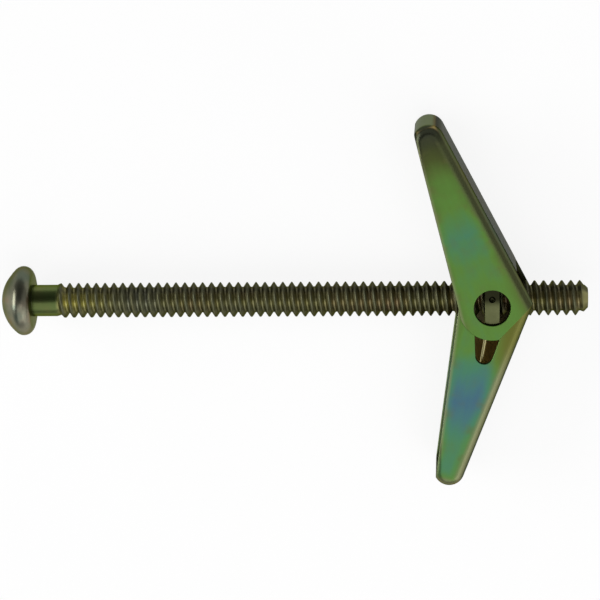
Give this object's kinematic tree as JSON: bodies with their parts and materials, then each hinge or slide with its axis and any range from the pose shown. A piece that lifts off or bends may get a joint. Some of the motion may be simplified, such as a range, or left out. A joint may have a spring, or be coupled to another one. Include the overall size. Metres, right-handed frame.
{
  "type": "spring toggle bolt",
  "caption": "Round-head machine screw carrying a trunnion nut with sprung folding sheet-metal wings, for hanging loads on hollow walls.",
  "frame": {"origin": "middle of the head's bearing face, on the bolt's axis", "axes": "+X along the bolt from head to tail, +Y along the upper wing's side, +Z along the wings' pivot, away from the floor it lies on"},
  "size_m": [0.0537, 0.0337, 0.0076],
  "materials": {
    "bolt": "yellow zinc passivated, dull",
    "nut": "yellow zinc passivated",
    "wings": "yellow zinc passivated, iridescent green and blue",
    "spring": "drawn wire, yellow zinc passivated"
  },
  "bodies": {
    "bolt": {"bolt": "bolt"},
    "nut": {"nut": "nut", "spring": "spring"},
    "wing_a": {"wing_a": "wings"},
    "wing_b": {"wing_b": "wings"}
  },
  "joints": [
    {"name": "nut_travel", "type": "slide", "parent": "bolt", "child": "nut", "axis": [1, 0, 0], "range_m": [-0.0239, 0.0073]},
    {"name": "wing_a_pivot", "type": "hinge", "parent": "nut", "child": "wing_a", "pos_m": [0.0421, 0, 0], "axis": [0, 0, 1], "range_deg": [-13.5, 59.5], "stiffness_Nm_per_rad": 0.0087, "deforming": ["spring"]},
    {"name": "wing_b_pivot", "type": "hinge", "parent": "nut", "child": "wing_b", "pos_m": [0.0421, 0, 0], "axis": [0, 0, -1], "range_deg": [-7.5, 65.5], "stiffness_Nm_per_rad": 0.0087, "deforming": ["spring"]}
  ]
}
